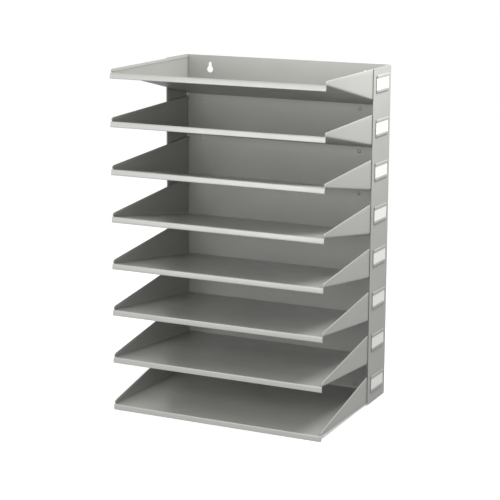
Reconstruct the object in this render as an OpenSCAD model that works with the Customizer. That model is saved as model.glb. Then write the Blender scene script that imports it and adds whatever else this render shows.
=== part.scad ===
// Desktop and wall file sorter: eight folded sheet-steel trays fanned out in a U-shaped housing.
// X runs to the right, the open front faces -Y and Z is up.
// The origin is under the middle of the sorter, level with the lowest tray's front lip.

/* [Housing] */
// Overall width of the housing
housing_w = 334; // [310:1:360]
// Height of the housing's back and sides
housing_h = 492; // [480:1:520]
// Depth from the tray fronts to the back of the housing
total_depth = 233; // [220:1:250]
// Depth of the housing's side flanges
flange_depth = 66; // [60:1:90]
// Thickness of all sheet steel
sheet_t = 0.8; // [0.6:0.1:1.0]
// Width of the hem folded inwards along each flange's front edge
housing_hem = 8; // [5:1:12]
// Outside radius of the housing's two back corners
corner_r = 2; // [1.5:0.5:4]

/* [Trays] */
// Gap between a tray's wing and the housing's hem
side_gap = 0.4; // [0.2:0.1:1.0]
// Depth of the front lip below the tray floor
lip_h = 7.5; // [6:0.5:12]
// Height of the wings at the front
wing_front_h = 5.5; // [4:0.5:10]
// Height of the wings at the back
wing_rear_h = 59; // [40:1:60]
// Outside radius of the bends between floor and wings
bend_r = 3; // [2:0.5:5]
// Outside radius of the bend between floor and lip
lip_bend_r = 1.5; // [1.5:0.5:3]
// Width of the hem folded inwards along each wing's top edge
wing_hem = 4; // [3:0.5:8]
// Height of the flange that fixes each tray to the housing's back
rear_flange_h = 14; // [12:1:18]

/* [Fan] */
// Spacing of the tray fronts, from the third tray up
front_pitch = 68.7; // [66:0.1:70]
// Spacing of the three lowest tray fronts
low_front_pitch = 71; // [68:0.5:73]
// Spacing of the tray backs, from the second tray up
rear_pitch = 62.8; // [62:0.1:63.5]
// Height of the second tray's back above the lowest tray
low_rear_pitch = 56; // [54:0.5:60]
// Gap between the lowest tray's wings and the tray above them, at the back
low_wing_gap = 0.5; // [0.5:0.5:4]

/* [Fixings] */
// Distance between the two keyholes
keyhole_spacing = 253; // [200:1:280]
// Height from a keyhole's round opening to the housing's top edge
keyhole_drop = 21; // [18:1:30]
// Radius of a keyhole's round opening
keyhole_head_r = 5; // [4:0.5:6]
// Width of a keyhole's slot
keyhole_slot_w = 5; // [4:0.5:6]
// Length of a keyhole's slot, between the centres of its round ends
keyhole_rise = 8.5; // [7:0.5:12]
// Distance between the two rivets of a tray
rivet_spacing = 260; // [200:1:280]
// Sideways shift of each pair of rivets from the middle
rivet_shift = -10; // [-12:1:12]
// Radius of a rivet's shank
rivet_r = 1.6; // [1.5:0.1:2.0]

/* [Labels] */
// Height of the lowest label's middle above the housing's bottom
label_first_z = 28.4; // [20:0.1:30]
// Spacing of the labels
label_pitch = 63; // [60:0.5:63]
// Length of a label holder
holder_len = 47; // [40:1:52]
// Height of a label holder
holder_h = 25; // [20:1:26]
// Height of the visible part of a label card
window_h = 16.4; // [12:0.2:17]
// Distance from a flange's front edge to a label holder
holder_setback = 8.5; // [8:0.5:12]
// Thickness of a label card
card_t = 0.5; // [0.3:0.1:0.6]

/* [Hidden] */
$fn = 48;

paint = [0.76, 0.76, 0.74];
card_white = [0.95, 0.95, 0.93];
eps = 0.01;

tray_count = 8;
tray_w = housing_w - 2 * (2 * sheet_t + side_gap);
fold_half_w = tray_w / 2 - bend_r - 1;
back_y = total_depth - sheet_t;
flange_front_y = total_depth - flange_depth;
wing_rear_y = back_y - 1;
trough_len = total_depth + 20;
trough_h = wing_rear_h + 20;
relief_w = 0.5;
lip_hem = lip_h - 2.5;
rivet_drop = 7;
rivet_head_r = 3.2;
rivet_head_h = 1.2;
holder_t = 0.5;
holder_gap = 0.9;
holder_front_y = flange_front_y + holder_setback;
card_clearance = 0.3;
card_h = holder_h - 2 * holder_t - 2 * card_clearance;

// Trays are counted from the top; rows_up counts them from the lowest, which is 0.
function rows_up(i) = tray_count - i;

// Heights of a tray floor's underside above the housing's bottom, at the front and at the back.
function front_z(i) = rows_up(i) <= 2
    ? rows_up(i) * low_front_pitch
    : 2 * low_front_pitch + (rows_up(i) - 2) * front_pitch;
function rear_z(i) = rows_up(i) == 0 ? 0 : low_rear_pitch + (rows_up(i) - 1) * rear_pitch;
function tilt(i) = atan2(front_z(i) - rear_z(i), back_y);
function floor_z(i, y) = front_z(i) - y * tan(tilt(i));

// How far a tray's tilt sets its floor back behind the lip's bottom, and where its wings begin.
function lip_lean(i) = lip_h * sin(tilt(i));
function wing_front_y(i) = lip_lean(i) + lip_bend_r + relief_w;

// Top edge of a tray's wings. The lowest tray's wings end just under the tray above them.
function wing_top_front(i) = front_z(i) + wing_front_h;
function wing_top_rear(i) = rows_up(i) == 0
    ? rear_z(i) + low_rear_pitch - low_wing_gap
    : rear_z(i) + wing_rear_h;
function wing_top_angle(i) = atan2(wing_top_rear(i) - wing_top_front(i), back_y);
function wing_top_z(i, y) = wing_top_front(i) + y * tan(wing_top_angle(i));

// The lowest tray is fixed by a flange turned up, the others by a flange turned down.
function flange_low_z(i) = rows_up(i) == 0 ? rear_z(i) : rear_z(i) - rear_flange_h;
function rivet_z(i) = rows_up(i) == 0 ? rear_z(i) + sheet_t + rivet_drop : rear_z(i) - rivet_drop;
function label_z(i) = label_first_z + rows_up(i) * label_pitch;

// Moves the design frame, y = 0 at the lips and z = 0 at the housing's bottom, to the origin.
module placed() {
    translate([0, -total_depth / 2, lip_h]) children();
}

// Extrudes an outline drawn in Y and Z across the width, centred on X.
module across(width) {
    rotate([90, 0, 90]) linear_extrude(width, center = true) children();
}

// Extrudes an outline drawn in X and Z backwards along Y.
module backwards(length) {
    translate([0, length, 0]) rotate([90, 0, 0]) linear_extrude(length) children();
}

module both_sides() {
    children();
    mirror([1, 0, 0]) children();
}

module rivet_places(i) {
    for (side = [-1, 1])
        translate([rivet_shift + side * rivet_spacing / 2, 0, rivet_z(i)]) children();
}

// ---- Housing ----

module rounded_square_bottom(half_w, height, r) {
    translate([-half_w + r, 0]) square([2 * (half_w - r), r + eps]);
    translate([-half_w, r]) square([2 * half_w, height - r]);
    for (side = [-1, 1]) translate([side * (half_w - r), r]) circle(r);
}

// The housing seen from above: a back with two side flanges, each with a closed hem at its front.
module housing_outline() {
    half_w = housing_w / 2;
    difference() {
        translate([0, total_depth]) mirror([0, 1])
            rounded_square_bottom(half_w, flange_depth - sheet_t, corner_r);
        translate([0, back_y]) mirror([0, 1])
            rounded_square_bottom(half_w - sheet_t, flange_depth, corner_r - sheet_t);
    }
    for (side = [-1, 1]) {
        translate([side * (half_w - sheet_t), flange_front_y + sheet_t]) circle(sheet_t);
        translate([side * (half_w - 1.5 * sheet_t) - sheet_t / 2, flange_front_y + sheet_t])
            square([sheet_t, housing_hem - sheet_t]);
    }
}

module keyhole() {
    rotate([-90, 0, 0]) cylinder(r = keyhole_head_r, h = 4 * sheet_t, center = true);
    translate([0, 0, keyhole_rise]) rotate([-90, 0, 0])
        cylinder(d = keyhole_slot_w, h = 4 * sheet_t, center = true);
    translate([-keyhole_slot_w / 2, -2 * sheet_t, 0])
        cube([keyhole_slot_w, 4 * sheet_t, keyhole_rise]);
}

module housing() {
    color(paint) placed() difference() {
        linear_extrude(housing_h) housing_outline();
        both_sides() translate([keyhole_spacing / 2, back_y, housing_h - keyhole_drop]) keyhole();
        for (i = [1 : tray_count]) rivet_places(i) rivet_hole();
    }
}

// ---- Trays ----

module rivet_hole() {
    translate([0, back_y, 0]) rotate([-90, 0, 0])
        cylinder(r = rivet_r, h = 4 * sheet_t, center = true);
}

// Moves a tray's own frame, with the lip's front face at y = 0, to its place in the fan.
module tilted(i) {
    translate([0, lip_lean(i), floor_z(i, lip_lean(i))]) rotate([-tilt(i), 0, 0]) children();
}

// Floor and both side walls before the walls are trimmed to wings.
module trough() {
    backwards(trough_len) difference() {
        rounded_square_bottom(tray_w / 2, trough_h, bend_r);
        translate([0, sheet_t])
            rounded_square_bottom(tray_w / 2 - sheet_t, trough_h, bend_r - sheet_t);
    }
}

// Side view of what stays of the trough: the floor behind the lip's bend and the tapered wings,
// which end a little below the fold of the hem that continues them.
module trough_trim(i) {
    front_y = wing_front_y(i);
    top = -2 * sheet_t;
    across(tray_w + 1) polygon([
        [front_y, floor_z(i, front_y) - lip_h],
        [back_y, floor_z(i, back_y) - lip_h],
        [back_y, floor_z(i, back_y) + 2 * sheet_t],
        [wing_rear_y, floor_z(i, wing_rear_y) + 2 * sheet_t],
        [wing_rear_y, wing_top_z(i, wing_rear_y) + top],
        [front_y, wing_top_z(i, front_y) + top],
    ]);
}

// Front lip with its bend to the floor and a closed hem behind it. The lip runs the full width;
// a relief cut at each corner keeps its bend apart from the wing's.
module lip() {
    bend_y = lip_bend_r;
    bend_z = sheet_t - lip_bend_r;
    across(tray_w) {
        intersection() {
            difference() {
                translate([bend_y, bend_z]) circle(lip_bend_r);
                translate([bend_y, bend_z]) circle(lip_bend_r - sheet_t);
            }
            translate([0, bend_z]) square([lip_bend_r, lip_bend_r]);
        }
        translate([0, sheet_t - lip_h]) square([sheet_t, lip_h - sheet_t + bend_z]);
        translate([sheet_t, sheet_t - lip_h]) circle(sheet_t);
        translate([sheet_t - eps, sheet_t - lip_h]) square([sheet_t + eps, lip_hem - sheet_t]);
    }
    across(2 * fold_half_w) translate([bend_y - eps, 0]) square([2 * relief_w + 1, sheet_t]);
}

// Closed hem along a wing's top edge, on the wing's inner side.
module wing_hem_bar(i) {
    inner_x = tray_w / 2 - sheet_t;
    front_y = wing_front_y(i);
    above_floor = bend_r + 0.5;
    intersection() {
        translate([inner_x, 0, wing_top_front(i)]) rotate([wing_top_angle(i), 0, 0])
            backwards(total_depth + wing_hem) {
                translate([0, -sheet_t]) circle(sheet_t);
                translate([-sheet_t, -wing_hem]) square([2 * sheet_t, wing_hem - sheet_t]);
            }
        translate([inner_x, 0, 0]) across(4 * bend_r) polygon([
            [front_y, floor_z(i, front_y) + above_floor],
            [wing_rear_y, floor_z(i, wing_rear_y) + above_floor],
            [wing_rear_y, wing_top_rear(i) + wing_hem],
            [front_y, wing_top_front(i) + wing_hem],
        ]);
    }
}

module rear_flange(i) {
    translate([-fold_half_w, back_y - sheet_t, flange_low_z(i)])
        cube([2 * fold_half_w, sheet_t, rear_flange_h + sheet_t / 2]);
}

module tray(i) {
    color(paint) placed() difference() {
        union() {
            intersection() {
                tilted(i) trough();
                trough_trim(i);
            }
            tilted(i) lip();
            both_sides() wing_hem_bar(i);
            rear_flange(i);
        }
        rivet_places(i) rivet_hole();
    }
}

// ---- Rivets ----

// A rivet lies along Y, with its domed head in front and its tail flush with the housing's back.
module rivet() {
    grip = 2 * sheet_t;
    dome_r = (rivet_head_r * rivet_head_r + rivet_head_h * rivet_head_h) / (2 * rivet_head_h);
    translate([0, total_depth, 0]) rotate([90, 0, 0]) rotate_extrude() {
        square([rivet_r, grip + eps]);
        translate([0, grip]) intersection() {
            translate([0, rivet_head_h - dome_r]) circle(dome_r, $fn = 96);
            square([rivet_head_r, rivet_head_h]);
        }
    }
}

module tray_rivets() {
    color(paint) placed() for (i = [1 : tray_count]) rivet_places(i) rivet();
}

// ---- Labels ----

module at_label(i) {
    translate([housing_w / 2, holder_front_y, label_z(i)]) children();
}

// Half of a holder's end view: its plate, one wall and the rail's turned-in lip.
module rail_outline() {
    depth = 2 * holder_t + holder_gap;
    square([holder_t, holder_h / 2]);
    translate([0, holder_h / 2 - holder_t]) square([depth, holder_t]);
    translate([depth - holder_t, window_h / 2]) square([holder_t, (holder_h - window_h) / 2]);
}

// A folded holder with a rail above and below and a closed rear end.
module label_holder(i) {
    color(paint) placed() at_label(i) {
        backwards(holder_len) {
            rail_outline();
            mirror([0, 1]) rail_outline();
        }
        translate([0, holder_len - holder_t, -holder_h / 2])
            cube([2 * holder_t + holder_gap, holder_t, holder_h]);
    }
}

module label_card(i) {
    card_x = holder_t + (holder_gap - card_t) / 2;
    card_len = holder_len - holder_t - 2 * card_clearance;
    color(card_white) placed() at_label(i)
        translate([card_x, card_clearance, -card_h / 2]) cube([card_t, card_len, card_h]);
}

housing();
tray(1);  // tray_1
tray(2);  // tray_2
tray(3);  // tray_3
tray(4);  // tray_4
tray(5);  // tray_5
tray(6);  // tray_6
tray(7);  // tray_7
tray(8);  // tray_8
tray_rivets();
label_holder(1);  // label_holder_1
label_holder(2);  // label_holder_2
label_holder(3);  // label_holder_3
label_holder(4);  // label_holder_4
label_holder(5);  // label_holder_5
label_holder(6);  // label_holder_6
label_holder(7);  // label_holder_7
label_holder(8);  // label_holder_8
label_card(1);  // label_card_1
label_card(2);  // label_card_2
label_card(3);  // label_card_3
label_card(4);  // label_card_4
label_card(5);  // label_card_5
label_card(6);  // label_card_6
label_card(7);  // label_card_7
label_card(8);  // label_card_8
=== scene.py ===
import math

import bmesh
import bpy
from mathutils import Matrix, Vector


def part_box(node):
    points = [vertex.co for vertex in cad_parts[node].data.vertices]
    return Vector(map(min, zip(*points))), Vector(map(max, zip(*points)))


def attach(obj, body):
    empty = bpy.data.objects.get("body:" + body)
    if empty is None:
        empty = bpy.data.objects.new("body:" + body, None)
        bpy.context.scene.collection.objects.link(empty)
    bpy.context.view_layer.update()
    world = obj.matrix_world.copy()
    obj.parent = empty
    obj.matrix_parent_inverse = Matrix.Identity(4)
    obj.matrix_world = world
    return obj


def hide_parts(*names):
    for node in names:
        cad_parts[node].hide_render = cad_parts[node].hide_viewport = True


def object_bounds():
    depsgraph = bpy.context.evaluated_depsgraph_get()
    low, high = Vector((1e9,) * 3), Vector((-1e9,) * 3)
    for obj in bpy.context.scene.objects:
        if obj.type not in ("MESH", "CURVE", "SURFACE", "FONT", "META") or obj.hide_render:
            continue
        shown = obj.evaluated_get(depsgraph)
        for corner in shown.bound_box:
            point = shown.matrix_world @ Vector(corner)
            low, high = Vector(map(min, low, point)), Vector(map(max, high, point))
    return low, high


# Looks for the file sorter. Every sheet-metal piece is rebuilt as a folded sheet with real bend
# radii, hems and softened cut edges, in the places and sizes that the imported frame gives.
# All lengths are in metres, in the frame's own axes: X right, the open front towards -Y, Z up.

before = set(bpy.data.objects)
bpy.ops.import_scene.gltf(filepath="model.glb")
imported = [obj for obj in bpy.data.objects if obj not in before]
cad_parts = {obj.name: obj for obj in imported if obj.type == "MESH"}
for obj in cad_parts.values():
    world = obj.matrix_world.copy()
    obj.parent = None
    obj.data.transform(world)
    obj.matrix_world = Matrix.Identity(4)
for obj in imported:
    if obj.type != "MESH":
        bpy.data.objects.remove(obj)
cad_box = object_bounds()

TRAYS = 8
BODY = "sorter"
MM = 0.001

# Sheet metal, as in the design.
SHEET = 0.8 * MM
HEM_GAP = 0.1 * MM
EDGE_ROUND = 0.22 * MM
ARC_STEPS = 6
FOLD_MARGIN = 1 * MM
LIP_HEIGHT = 7.5 * MM
LIP_BEND = 1.5 * MM
LIP_HEM = 5 * MM
LIP_RELIEF = 0.5 * MM
FLOOR_BEND = 3 * MM
WING_HEM = 4 * MM
WING_HEM_OPEN = 0.8 * MM
WING_FRONT_HEIGHT = 5.5 * MM
WING_CORNER = 4 * MM
WING_CORNER_DROP = 1.6 * MM
REAR_FLANGE = 14 * MM
REAR_BEND = 1.6 * MM
HOUSING_CORNER = 2 * MM
HOUSING_HEM = 8 * MM

# Keyholes and rivets.
KEYHOLE_X = 126.5 * MM
KEYHOLE_DROP = 21 * MM
KEYHOLE_HEAD = 5 * MM
KEYHOLE_SLOT = 2.5 * MM
KEYHOLE_RISE = 8.5 * MM
RIVET_XS = (-140 * MM, 120 * MM)
RIVET_DROP = 7 * MM
RIVET_SHANK = 1.6 * MM
RIVET_HEAD = 3.2 * MM
RIVET_DOME = 1.2 * MM
RIVET_HOLLOW = 0.7 * MM
RIVET_HOLLOW_FLOOR = 0.7 * MM
RIVET_RIM = 0.9 * MM
RIVET_RIM_HEIGHT = 1.05 * MM
RIVET_EDGE_ROUND = 0.05 * MM

# Label holders and cards.
HOLDER_SHEET = 0.5 * MM
WINDOW = 16.4 * MM
RAIL_RISE = 1.3 * MM
RAIL_LEAN = 0.15 * MM
HOLDER_STAND_OFF = 0.4 * MM
HOLDER_FLARE = 7 * MM
HOLDER_BEND = 0.6 * MM
HOLDER_EDGE_ROUND = 0.12 * MM
CARD_THICK = 0.3 * MM
CARD_TRIM = 0.15 * MM
CARD_BOW = 0.06 * MM
CARD_EDGE_ROUND = 0.06 * MM

# Colours and the studio.
GREY = (0.358, 0.363, 0.34)
CARD_WHITE = (0.77, 0.77, 0.745)
FLOOR_REACH = 60
DARK_BELOW = 0.42
BRIGHT_ABOVE = 0.82


# ---- Reading the frame ----

def edge_heights(node, y_limit, side):
    """Lowest and highest z of a node's vertices in front of (side -1) or behind (side 1) y_limit."""
    heights = [v.co.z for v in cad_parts[node].data.vertices if (v.co.y - y_limit) * side > 0]
    return min(heights), max(heights)


class Tray:
    """Where one tray's sheet lies, worked out from its node in the frame."""

    def __init__(self, number):
        self.number = number
        self.node = f"tray_{number}"
        self.lowest = number == TRAYS
        low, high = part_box(self.node)
        self.half_w = high.x
        self.front = low.y
        self.back = high.y
        self.top_rear = high.z
        lip_low = edge_heights(self.node, self.front + SHEET, -1)[0]
        rear_low = edge_heights(self.node, self.back - SHEET / 2, 1)[0]
        self.rear_z = rear_low if self.lowest else rear_low + REAR_FLANGE
        self.rivet_z = self.rear_z + SHEET + RIVET_DROP if self.lowest else self.rear_z - RIVET_DROP
        # The lip stands square to the floor, so the floor's tilt follows from where the lip ends.
        rise = self.rear_z - lip_low
        run = self.back - self.front
        self.tilt = math.asin(LIP_HEIGHT / math.hypot(rise, run)) - math.atan2(rise, run)
        self.lip_y = self.front + LIP_HEIGHT * math.sin(self.tilt)
        self.floor_front = self.lip_y + LIP_BEND + LIP_RELIEF
        self.top_front = self.underside(self.front) + WING_FRONT_HEIGHT

    def underside(self, y):
        return self.rear_z + (self.back - y) * math.tan(self.tilt)

    def middle(self, y):
        """Height of the middle of the floor's sheet."""
        return self.underside(y) + SHEET / 2 / math.cos(self.tilt)

    def wing_top(self, y):
        """Height of the wing's straight upper edge, which drops in a round corner at the front end."""
        share = (y - self.front) / (self.back - self.front)
        corner = max(0, 1 - (y - self.floor_front) / WING_CORNER)
        drop = WING_CORNER_DROP * (1 - math.sqrt(max(0, 1 - corner ** 2)))
        return self.top_front + share * (self.top_rear - self.top_front) - drop

    def wave(self, x, y):
        """Thin sheet is never quite flat: a shallow swell, different in every tray, none at the edges."""
        across = math.cos(math.pi * x / (2 * self.half_w))
        along = math.sin(math.pi * (y - self.front) / (self.back - self.front))
        turn = 1.7 * self.number
        return 0.35 * MM * across * along * math.sin(turn + 9 * x / self.half_w + 7 * y / self.half_w)


# ---- Mesh helpers ----

def arc(centre, radius, start, end, steps=ARC_STEPS):
    """Points of a round bend in a plane, from one angle to another, in degrees."""
    points = []
    for k in range(steps + 1):
        a = math.radians(start + (end - start) * k / steps)
        points.append((centre[0] + radius * math.cos(a), centre[1] + radius * math.sin(a)))
    return points


def spread(a, b, count):
    """Values strictly between a and b, evenly spaced."""
    return [a + (b - a) * k / (count + 1) for k in range(1, count + 1)]


def add_grid(bm, rows):
    """Quads between rows of points."""
    made = [[bm.verts.new(p) for p in row] for row in rows]
    for r in range(len(made) - 1):
        for c in range(len(made[r]) - 1):
            bm.faces.new((made[r][c], made[r][c + 1], made[r + 1][c + 1], made[r + 1][c]))
    return made


def link(name, mesh):
    piece = bpy.data.objects.new(name, mesh)
    bpy.context.scene.collection.objects.link(piece)
    return piece


def finish_mesh(name, bm, weld=0.02 * MM):
    bmesh.ops.remove_doubles(bm, verts=bm.verts[:], dist=weld)
    bmesh.ops.recalc_face_normals(bm, faces=bm.faces[:])
    mesh = bpy.data.meshes.new(name)
    bm.to_mesh(mesh)
    bm.free()
    mesh.shade_smooth()
    return link(name, mesh)


def apply_modifiers(piece):
    bpy.context.view_layer.update()
    depsgraph = bpy.context.evaluated_depsgraph_get()
    mesh = bpy.data.meshes.new_from_object(piece.evaluated_get(depsgraph))
    piece.modifiers.clear()
    old = piece.data
    piece.data = mesh
    bpy.data.meshes.remove(old)


def fold_sheet(piece, thickness=SHEET):
    """Gives a middle surface the thickness of its sheet."""
    solid = piece.modifiers.new("sheet", "SOLIDIFY")
    solid.thickness = thickness
    solid.offset = 0
    solid.use_even_offset = True


def round_edges(piece, width=EDGE_ROUND, angle=50):
    """Softens cut edges as the coating does."""
    bevel = piece.modifiers.new("edges", "BEVEL")
    bevel.width = width
    bevel.segments = 2
    bevel.limit_method = "ANGLE"
    bevel.angle_limit = math.radians(angle)
    bevel.harden_normals = True


def lathe(bm, profile, place, steps=28):
    """Turns a profile of (radius, forward) points round a line along Y; forward is towards -Y."""
    rings = []
    for k in range(steps):
        a = 2 * math.pi * k / steps
        spoke = [Vector((r * math.cos(a), -forward, r * math.sin(a))) for r, forward in profile]
        rings.append([bm.verts.new(place + point) for point in spoke])
    for k in range(steps):
        ring, following = rings[k], rings[(k + 1) % steps]
        for n in range(len(profile) - 1):
            bm.faces.new((ring[n], ring[n + 1], following[n + 1], following[n]))


def add_prism(bm, outline, low_y, high_y):
    """A closed prism along Y over an outline of (x, z) points."""
    front = [bm.verts.new((x, low_y, z)) for x, z in outline]
    rear = [bm.verts.new((x, high_y, z)) for x, z in outline]
    bm.faces.new(front)
    bm.faces.new(rear[::-1])
    for k in range(len(outline)):
        j = (k + 1) % len(outline)
        bm.faces.new((front[k], rear[k], rear[j], front[j]))


def hand_in(piece, material, body, slot, *nodes):
    piece.data.materials.clear()
    piece.data.materials.append(material)
    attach(piece, body)
    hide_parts(*nodes)
    return piece


# ---- Materials ----

class Nodes:
    """Short calls for building a node material."""

    def __init__(self, name):
        self.material = bpy.data.materials.new(name)
        self.material.use_nodes = True
        self.tree = self.material.node_tree
        self.shader = self.tree.nodes["Principled BSDF"]
        coords = self.tree.nodes.new("ShaderNodeTexCoord")
        self.place = coords.outputs["Object"]

    def noise(self, scale, detail=2.0, roughness=0.5):
        node = self.tree.nodes.new("ShaderNodeTexNoise")
        node.inputs["Scale"].default_value = scale
        node.inputs["Detail"].default_value = detail
        node.inputs["Roughness"].default_value = roughness
        self.tree.links.new(self.place, node.inputs["Vector"])
        return node.outputs["Fac"]

    def remap(self, value, low, high, out_low, out_high):
        node = self.tree.nodes.new("ShaderNodeMapRange")
        node.inputs["From Min"].default_value = low
        node.inputs["From Max"].default_value = high
        node.inputs["To Min"].default_value = out_low
        node.inputs["To Max"].default_value = out_high
        self.tree.links.new(value, node.inputs["Value"])
        return node.outputs["Result"]

    def math(self, operation, a, b):
        node = self.tree.nodes.new("ShaderNodeMath")
        node.operation = operation
        for socket, value in zip(node.inputs, (a, b)):
            if isinstance(value, (int, float)):
                socket.default_value = value
            else:
                self.tree.links.new(value, socket)
        return node.outputs["Value"]

    def tinted(self, colour, brightness):
        """A colour times a brightness that varies over the surface."""
        node = self.tree.nodes.new("ShaderNodeMix")
        node.data_type = "RGBA"
        node.blend_type = "MULTIPLY"
        node.inputs["Factor"].default_value = 1
        node.inputs["A"].default_value = (*colour, 1)
        self.tree.links.new(brightness, node.inputs["B"])
        return node.outputs["Result"]

    def bump(self, height, distance, strength=1.0, normal=None):
        node = self.tree.nodes.new("ShaderNodeBump")
        node.inputs["Strength"].default_value = strength
        node.inputs["Distance"].default_value = distance
        self.tree.links.new(height, node.inputs["Height"])
        if normal is not None:
            self.tree.links.new(normal, node.inputs["Normal"])
        return node.outputs["Normal"]

    def set(self, name, value):
        socket = self.shader.inputs[name]
        if isinstance(value, (int, float, tuple)):
            socket.default_value = value
        else:
            self.tree.links.new(value, socket)


def powder_coat(name, colour, seed=0.0):
    """Satin powder coat: a slightly uneven tone, fine speckle and a shallow orange-peel surface."""
    m = Nodes(name)
    cloud = m.noise(9 + seed, 3)
    speckle = m.noise(1900, 2)
    tone = m.math("MULTIPLY", m.remap(cloud, 0.3, 0.7, 0.975, 1.025), m.remap(speckle, 0.3, 0.7, 0.97, 1.03))
    m.set("Base Color", m.tinted(colour, tone))
    m.set("Roughness", m.remap(m.noise(40, 4), 0.3, 0.7, 0.28, 0.36))
    m.set("Specular IOR Level", 0.9)
    peel = m.bump(m.noise(620, 1), 0.06 * MM, 0.35)
    m.set("Normal", m.bump(m.noise(2600, 2), 0.02 * MM, 0.3, peel))
    return m.material


def card_stock(name):
    """Matt white card with faint fibres."""
    m = Nodes(name)
    fibres = m.noise(2400, 4, 0.7)
    mottle = m.noise(260, 3)
    tone = m.math("MULTIPLY", m.remap(fibres, 0.3, 0.7, 0.96, 1.0), m.remap(mottle, 0.3, 0.7, 0.97, 1.0))
    m.set("Base Color", m.tinted(CARD_WHITE, tone))
    m.set("Roughness", 0.5)
    m.set("Specular IOR Level", 0.5)
    m.set("Normal", m.bump(fibres, 0.03 * MM, 0.5))
    return m.material


# ---- Trays ----

def section_side(tray, y, shift):
    """One wing's half of the section at y, from the floor outwards."""
    wing_x = tray.half_w - SHEET / 2
    bend = FLOOR_BEND - SHEET / 2
    floor_z = tray.middle(y)
    bend_x = tray.half_w - FLOOR_BEND
    fold = (SHEET + HEM_GAP) / 2
    fold_z = tray.wing_top(y) - SHEET / 2 - fold
    hem_x = wing_x - 2 * fold
    hem_end = min(max(tray.wing_top(y) - WING_HEM, floor_z + FLOOR_BEND), fold_z - 0.3 * MM)
    points = arc((bend_x, floor_z + bend), bend, -90, 0)
    points += [(wing_x, z) for z in spread(floor_z + bend, fold_z, 6)]
    points += arc((wing_x - fold, fold_z), fold, 0, 180)
    open_x = WING_HEM_OPEN * (fold_z - hem_end) / WING_HEM
    points += [(hem_x - open_x * k / 2, fold_z + (hem_end - fold_z) * k / 2) for k in (1, 2)]
    return [Vector((x, y + shift, z)) for x, z in points]


def tray_sheet(tray, columns=24, stations=24):
    """The middle surface of a tray: floor and wings, front lip, rear flange and hems."""
    bm = bmesh.new()
    fold_half = tray.half_w - FLOOR_BEND - FOLD_MARGIN
    xs = [-fold_half] + spread(-fold_half, fold_half, columns) + [fold_half]
    y_front = tray.floor_front
    y_rear = tray.back - REAR_BEND
    corner = [y_front + WING_CORNER * share for share in (0, 0.15, 0.4, 0.7, 1)]
    ys = corner + spread(corner[-1], y_rear, stations) + [y_rear]
    rows = []
    for y in ys:
        right = section_side(tray, y, REAR_BEND - FOLD_MARGIN if y == y_rear else 0)
        left = [Vector((-p.x, p.y, p.z)) for p in reversed(right)]
        swell = 0 if y in (y_front, y_rear) else 1
        rows.append(left + [Vector((x, y, tray.middle(y) + swell * tray.wave(x, y))) for x in xs] + right)
    add_grid(bm, rows)
    add_lip(bm, tray, xs, y_front)
    add_rear_flange(bm, tray, xs, y_rear)
    return bm


def add_lip(bm, tray, xs, y_front):
    """Lip square to the floor and as wide as the tray, with its bend and a hem folded up behind it."""
    cos_t = math.cos(tray.tilt)
    sin_t = math.sin(tray.tilt)

    def placed(x, y, z):
        """From the tray's own frame, with the lip's front face at y = 0, to the row frame."""
        base = tray.underside(tray.lip_y)
        return Vector((x, tray.lip_y + y * cos_t + z * sin_t, base - y * sin_t + z * cos_t))

    bend = LIP_BEND - SHEET / 2
    fold = (SHEET + HEM_GAP) / 2
    low = -LIP_HEIGHT + SHEET / 2 + fold
    profile = arc((LIP_BEND, SHEET / 2 - bend), bend, 90, 180)
    profile += [(SHEET / 2, z) for z in spread(SHEET / 2 - bend, low, 2)]
    profile += arc((SHEET / 2 + fold, low), fold, 180, 360)
    profile += [(SHEET / 2 + 2 * fold, low + LIP_HEM - fold)]
    whole_width = [-tray.half_w] + xs + [tray.half_w]
    add_grid(bm, [[placed(x, y, z) for x in whole_width] for y, z in profile])
    floor_start = [Vector((x, y_front, tray.middle(y_front))) for x in xs]
    add_grid(bm, [floor_start, [placed(x, *profile[0]) for x in xs]])


def add_rear_flange(bm, tray, xs, y_rear):
    """Flange against the housing's back: up behind the lowest tray, down under the others."""
    bend = REAR_BEND - SHEET / 2
    wall_y = tray.back - SHEET / 2
    floor_z = tray.middle(y_rear)
    if tray.lowest:
        profile = arc((y_rear, floor_z + bend), bend, -90, 0)
        end = tray.rear_z + REAR_FLANGE
    else:
        profile = arc((y_rear, floor_z - bend), bend, 90, 0)
        end = tray.rear_z - REAR_FLANGE
    profile += [(wall_y, z) for z in spread(profile[-1][1], end, 1)] + [(wall_y, end)]
    add_grid(bm, [[Vector((x, y, z)) for x in xs] for y, z in profile])


def make_tray(tray, material):
    piece = finish_mesh(f"tray_sheet_{tray.number}", tray_sheet(tray))
    fold_sheet(piece)
    round_edges(piece)
    apply_modifiers(piece)
    hand_in(piece, material, BODY, "tray_paint", tray.node)


# ---- Housing and rivets ----

def housing_side(low, high):
    """Half of the housing seen from above, from its rear corner round to the end of the front hem."""
    side_x = high.x - SHEET / 2
    back_y = high.y - SHEET / 2
    bend = HOUSING_CORNER - SHEET / 2
    fold = (SHEET + HEM_GAP) / 2
    fold_y = low.y + SHEET / 2 + fold
    hem_end = low.y + HOUSING_HEM
    points = arc((side_x - bend, back_y - bend), bend, 90, 0)
    points += [(side_x, y) for y in spread(back_y - bend, fold_y, 6)]
    points += arc((side_x - fold, fold_y), fold, 0, -180)
    points += [(side_x - 2 * fold, y) for y in spread(fold_y, hem_end, 1)] + [(side_x - 2 * fold, hem_end)]
    return points


def keyhole_outline(centre_x, centre_z, steps=24):
    """A round opening with a narrower slot rising from it."""
    corner = math.degrees(math.acos(KEYHOLE_SLOT / KEYHOLE_HEAD))
    head = arc((centre_x, centre_z), KEYHOLE_HEAD, corner, corner - 360 + (180 - 2 * corner), steps)
    return head + arc((centre_x, centre_z + KEYHOLE_RISE), KEYHOLE_SLOT, 180, 0, steps // 2)


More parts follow.
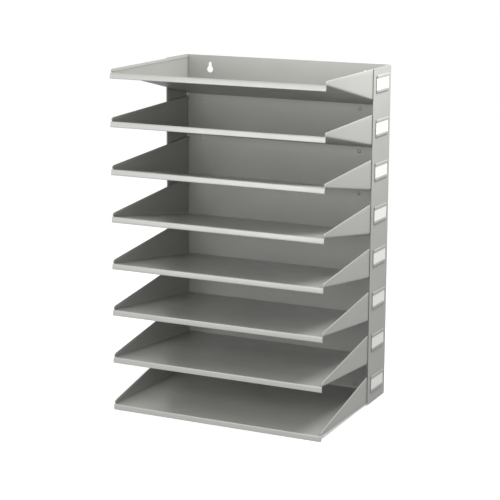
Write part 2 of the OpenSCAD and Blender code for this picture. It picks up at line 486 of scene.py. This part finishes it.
def make_housing(material, trays):
    low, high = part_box("housing")
    right = housing_side(low, high)
    left = [(-x, y) for x, y in reversed(right)]
    back = [(x, high.y - SHEET / 2) for x in spread(left[-1][0], right[0][0], 20)]
    outline = left + back + right
    heights = [low.z] + spread(low.z, high.z, 20) + [high.z]
    bm = bmesh.new()
    add_grid(bm, [[Vector((x, y, z)) for x, y in outline] for z in heights])
    piece = finish_mesh("housing_sheet", bm)
    fold_sheet(piece)

    bm = bmesh.new()
    front, rear = high.y - 4 * SHEET, high.y + 4 * SHEET
    for side in (-1, 1):
        add_prism(bm, keyhole_outline(side * KEYHOLE_X, high.z - KEYHOLE_DROP), front, rear)
    for tray in trays:
        for x in RIVET_XS:
            add_prism(bm, arc((x, tray.rivet_z), RIVET_SHANK + 0.1 * MM, 0, 345, 23), front, rear)
    holes = finish_mesh("housing_holes", bm)
    cut = piece.modifiers.new("holes", "BOOLEAN")
    cut.object = holes
    cut.solver = "EXACT"
    round_edges(piece)
    apply_modifiers(piece)
    bpy.data.objects.remove(holes)
    hand_in(piece, material, BODY, "housing_paint", "housing")


def make_rivets(material, trays):
    """Blind rivets: a domed head with the hollow its broken mandrel leaves, and a tail flush behind."""
    low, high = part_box("tray_rivets")
    grip = 2 * SHEET
    ball = (RIVET_HEAD ** 2 + RIVET_DOME ** 2) / (2 * RIVET_DOME)
    centre = RIVET_DOME - ball
    dome = [(r, centre + math.sqrt(ball ** 2 - r ** 2)) for r in [RIVET_HEAD * k / 8 for k in range(3, 8)]]
    profile = [(0, RIVET_HOLLOW_FLOOR), (RIVET_HOLLOW, RIVET_HOLLOW_FLOOR), (RIVET_RIM, RIVET_RIM_HEIGHT)]
    profile += dome
    profile += [(RIVET_HEAD, 0.12 * MM), (RIVET_HEAD - 0.1 * MM, 0), (RIVET_SHANK, 0)]
    profile += [(RIVET_SHANK, 0.15 * MM - grip), (RIVET_SHANK - 0.15 * MM, -grip), (0, -grip)]
    bm = bmesh.new()
    for tray in trays:
        for x in RIVET_XS:
            lathe(bm, profile, Vector((x, high.y - grip, tray.rivet_z)))
    piece = finish_mesh("rivets", bm)
    round_edges(piece, RIVET_EDGE_ROUND, 40)
    apply_modifiers(piece)
    hand_in(piece, material, BODY, "rivet_paint", "tray_rivets")


# ---- Labels ----

def rail_section(depth, half_h):
    """The holder's upper half seen from its end: from its middle up the plate and over the rail."""
    plate_x = HOLDER_SHEET / 2
    lip_x = depth - HOLDER_SHEET / 2
    turn = (lip_x - plate_x) / 2
    bend_z = half_h - HOLDER_SHEET / 2 - RAIL_RISE
    points = [(plate_x, z) for z in spread(0, bend_z, 3)]
    bend = arc((0, 0), 1, 180, 0, 10)
    points += [(plate_x + turn * (1 + c), bend_z + RAIL_RISE * s) for c, s in bend]
    end_z = WINDOW / 2
    points += [(lip_x - RAIL_LEAN * (1 - k / 3) ** 2, end_z + (bend_z - end_z) * k / 3) for k in (2, 1, 0)]
    return points


def make_holder(number, material):
    """A folded strip: rounded rails above and below, open in front, and a tab bent up at the rear.
    Its plate stands off the flange a little at the open end."""
    node = f"label_holder_{number}"
    low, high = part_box(node)
    middle_z = (low.z + high.z) / 2
    depth = high.x - low.x
    upper = rail_section(depth, (high.z - low.z) / 2)
    section = [(x, -z) for x, z in reversed(upper)] + [(HOLDER_SHEET / 2, 0)] + upper
    bend = HOLDER_BEND
    rear = high.y - HOLDER_SHEET / 2
    flare_end = low.y + HOLDER_FLARE
    ys = [low.y] + spread(low.y, flare_end, 6) + [flare_end]
    ys += spread(flare_end, rear - bend, 4) + [rear - bend]
    rows = []
    for y in ys:
        off = HOLDER_STAND_OFF * max(0, 1 - (y - low.y) / HOLDER_FLARE) ** 2
        rows.append([Vector((low.x + x + off * (1 - x / depth), y, middle_z + z)) for x, z in section])
    bm = bmesh.new()
    add_grid(bm, rows)
    plate = [z for x, z in section if x == HOLDER_SHEET / 2][1:-1]
    tab = [(low.x + HOLDER_SHEET / 2 + bend * (1 - math.cos(a)), rear - bend * (1 - math.sin(a)))
           for a in (0, math.pi / 8, math.pi / 4, 3 * math.pi / 8, math.pi / 2)]
    tab.append((high.x - 0.1 * MM, rear))
    add_grid(bm, [[Vector((x, y, middle_z + z)) for z in plate] for x, y in tab])
    piece = finish_mesh(f"holder_{number}", bm, 0.01 * MM)
    fold_sheet(piece, HOLDER_SHEET)
    round_edges(piece, HOLDER_EDGE_ROUND)
    apply_modifiers(piece)
    hand_in(piece, material, BODY, "holder_paint", node)


def make_card(number, material):
    """A label card, bowed a little in its holder, with its ends towards the rails' lips, and trimmed
    so that it clears the rounded rails."""
    node = f"label_card_{number}"
    low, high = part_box(node)
    bottom, top = low.z + CARD_TRIM, high.z - CARD_TRIM
    rows = []
    for k in range(13):
        share = k / 12
        x = high.x - CARD_THICK / 2 - CARD_BOW * math.sin(math.pi * share)
        y = low.y + share * (high.y - low.y)
        rows.append([Vector((x, y, bottom + (top - bottom) * j / 6)) for j in range(7)])
    bm = bmesh.new()
    add_grid(bm, rows)
    piece = finish_mesh(f"card_{number}", bm)
    fold_sheet(piece, CARD_THICK)
    round_edges(piece, CARD_EDGE_ROUND)
    apply_modifiers(piece)
    hand_in(piece, material, f"card_{number}", "card_paper", node)


# ---- Camera, light and floor ----

def make_camera():
    """The camera stands to the right of the front and a little above, with a long lens."""
    azimuth = math.radians(26.0)
    elevation = math.radians(12.3)
    distance = 2.394
    low, high = cad_box
    aim = (low + high) / 2 + Vector((0, -0.005, -0.016))
    back = Vector((math.sin(azimuth) * math.cos(elevation), -math.cos(azimuth) * math.cos(elevation),
                   math.sin(elevation)))
    data = bpy.data.cameras.new("camera")
    data.lens = 118.8
    data.sensor_width = 36
    camera = link("camera", data)
    camera.location = aim + back * distance
    turn = (-back).to_track_quat("-Z", "Y").to_matrix().to_4x4()
    roll = math.radians(0.23)
    camera.rotation_euler = (turn @ turn.Rotation(roll, 4, "Z")).to_euler()
    bpy.context.scene.camera = camera


def soft_light(name, place, aim, size, watts):
    data = bpy.data.lights.new(name, "AREA")
    data.shape = "RECTANGLE"
    data.size, data.size_y = size
    data.energy = watts
    lamp = link(name, data)
    lamp.location = place
    lamp.rotation_euler = (Vector(aim) - Vector(place)).to_track_quat("-Z", "Y").to_euler()


def make_light():
    """A white studio, bright above and darker below, lit softly from the front, with a smaller
    light close over the right side."""
    world = bpy.data.worlds.new("studio")
    bpy.context.scene.world = world
    world.use_nodes = True
    tree = world.node_tree
    coords = tree.nodes.new("ShaderNodeTexCoord")
    axes = tree.nodes.new("ShaderNodeSeparateXYZ")
    fade = tree.nodes.new("ShaderNodeMapRange")
    fade.inputs["From Min"].default_value = -0.05
    fade.inputs["From Max"].default_value = 0.0
    fade.inputs["To Min"].default_value = DARK_BELOW
    fade.inputs["To Max"].default_value = BRIGHT_ABOVE
    tree.links.new(coords.outputs["Generated"], axes.inputs["Vector"])
    tree.links.new(axes.outputs["Z"], fade.inputs["Value"])
    tree.links.new(fade.outputs["Result"], tree.nodes["Background"].inputs["Strength"])
    tree.nodes["Background"].inputs["Color"].default_value = (1, 1, 1, 1)
    soft_light("over_right", (0.45, 0.08, 0.8), (0.15, 0.04, 0.34), (0.26, 0.26), 4.2)
    soft_light("front", (-0.15, -1.42, 0.61), (0, 0, 0.28), (1.3, 0.75), 15.5)


def make_floor():
    """A pale floor under the lowest lip and the back's lower edge, on which the sorter leans back.
    It shows white but throws no light back up, as if the sorter stood well above it."""
    low, high = cad_box
    rear_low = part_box("housing")[0].z
    rise = (rear_low - low.z) / (high.y - low.y)
    square = ((-1, -1), (1, -1), (1, 1), (-1, 1))
    corners = [(x * FLOOR_REACH, y * FLOOR_REACH, (y * FLOOR_REACH - low.y) * rise) for x, y in square]
    mesh = bpy.data.meshes.new("floor")
    mesh.from_pydata(corners, [], [(0, 1, 2, 3)])
    floor = link("floor", mesh)
    m = Nodes("floor_paper")
    m.set("Base Color", m.tinted((0.93, 0.93, 0.93), m.remap(m.noise(3, 2), 0.3, 0.7, 0.99, 1.01)))
    m.set("Roughness", 0.9)
    m.set("Emission Color", (1.0, 1.0, 1.0, 1.0))
    m.set("Emission Strength", 0.24)
    mesh.materials.append(m.material)
    floor.visible_diffuse = False
    floor.visible_glossy = False
    floor.visible_shadow = False


bpy.context.scene.view_settings.view_transform = "Standard"
make_camera()
make_light()
make_floor()
trays = [Tray(number) for number in range(1, TRAYS + 1)]
tray_paint = powder_coat("tray_powder_coat", GREY)
for tray in trays:
    make_tray(tray, tray_paint)
make_housing(powder_coat("housing_powder_coat", GREY, 2.0), trays)
make_rivets(powder_coat("rivet_powder_coat", GREY, 4.0), trays)
holder_paint = powder_coat("holder_powder_coat", GREY, 1.0)
card_paper = card_stock("card_stock")
for number in range(1, TRAYS + 1):
    make_holder(number, holder_paint)
    make_card(number, card_paper)
